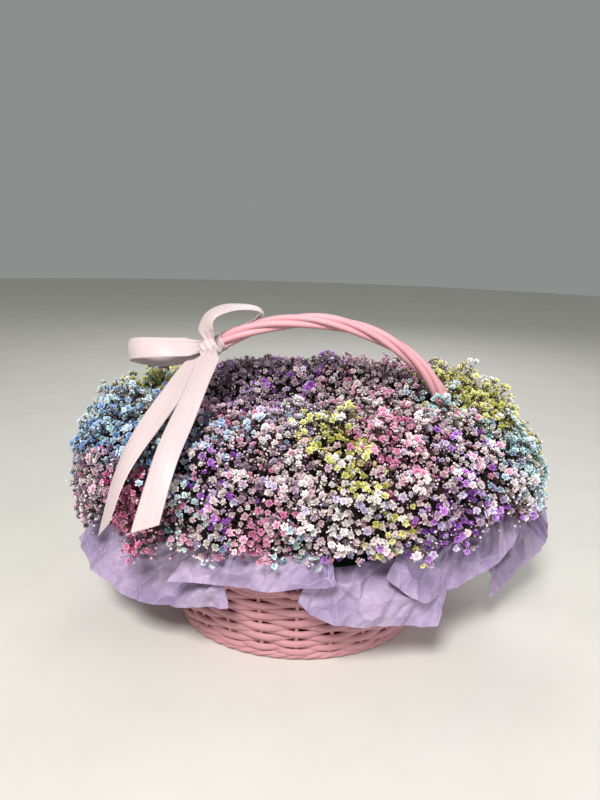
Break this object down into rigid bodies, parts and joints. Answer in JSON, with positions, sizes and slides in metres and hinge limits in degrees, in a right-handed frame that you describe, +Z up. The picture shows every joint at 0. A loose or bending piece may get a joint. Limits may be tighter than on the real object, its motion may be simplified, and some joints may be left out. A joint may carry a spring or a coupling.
{
  "type": "flower basket arrangement",
  "caption": "Oval wicker basket with a twisted arch handle, filled with a dome of small dyed flower sprays over a tissue paper collar, with a ribbon bow.",
  "frame": {"origin": "centre of the basket's flat underside", "axes": "+Z up, +X to the right along the basket's length and its handle's arch, the front with the bow's tails looks along -Y"},
  "size_m": [0.606, 0.3945, 0.3926],
  "materials": {
    "wicker": "painted willow, soft pink, satin",
    "handle": "painted willow rods, light pink, satin",
    "liner": "thin dark green plastic",
    "foam": "matt porous floral foam",
    "tissue": "crumpled lilac tissue paper",
    "ribbon": "blush satin",
    "floret_blue": "matt dyed petals, cornflower blue",
    "floret_aqua": "matt dyed petals, pale aqua",
    "floret_green": "matt dyed petals, yellow-green",
    "floret_yellow": "matt dyed petals, lemon",
    "floret_pink": "matt dyed petals, pale pink",
    "floret_rose": "matt dyed petals, rose",
    "floret_mauve": "matt dyed petals, dusty mauve",
    "floret_violet": "matt dyed petals, violet"
  },
  "bodies": {
    "root": {"basket_base": "wicker", "basket_rim": "wicker", "basket_wall": "wicker", "floral_foam": "foam", "handle_rod_1": "handle", "handle_rod_2": "handle", "handle_rod_3": "handle", "handle_rod_4": "handle", "plastic_liner": "liner", "ribbon_knot": "ribbon", "ribbon_loop_left": "ribbon", "ribbon_loop_top": "ribbon", "ribbon_tail_left": "ribbon", "ribbon_tail_right": "ribbon", "spray_back_1": "floret_green", "spray_back_2": "floret_mauve", "spray_back_3": "floret_violet", "spray_back_4": "floret_pink", "spray_back_5": "floret_yellow", "spray_front_1": "floret_mauve", "spray_front_2": "floret_blue", "spray_front_3": "floret_rose", "spray_front_4": "floret_pink", "spray_front_5": "floret_yellow", "spray_front_6": "floret_violet", "spray_midback_1": "floret_aqua", "spray_midback_2": "floret_green", "spray_midback_3": "floret_mauve", "spray_midback_4": "floret_pink", "spray_midback_5": "floret_aqua", "spray_midback_6": "floret_yellow", "spray_midfront_1": "floret_blue", "spray_midfront_2": "floret_aqua", "spray_midfront_3": "floret_pink", "spray_midfront_4": "floret_yellow", "spray_midfront_5": "floret_rose", "spray_midfront_6": "floret_pink", "tissue_back_left": "tissue", "tissue_back_right": "tissue", "tissue_front": "tissue", "tissue_front_left": "tissue", "tissue_front_right": "tissue", "tissue_left_back": "tissue", "tissue_right_back": "tissue", "tissue_right_front": "tissue"}
  },
  "joints": []
}
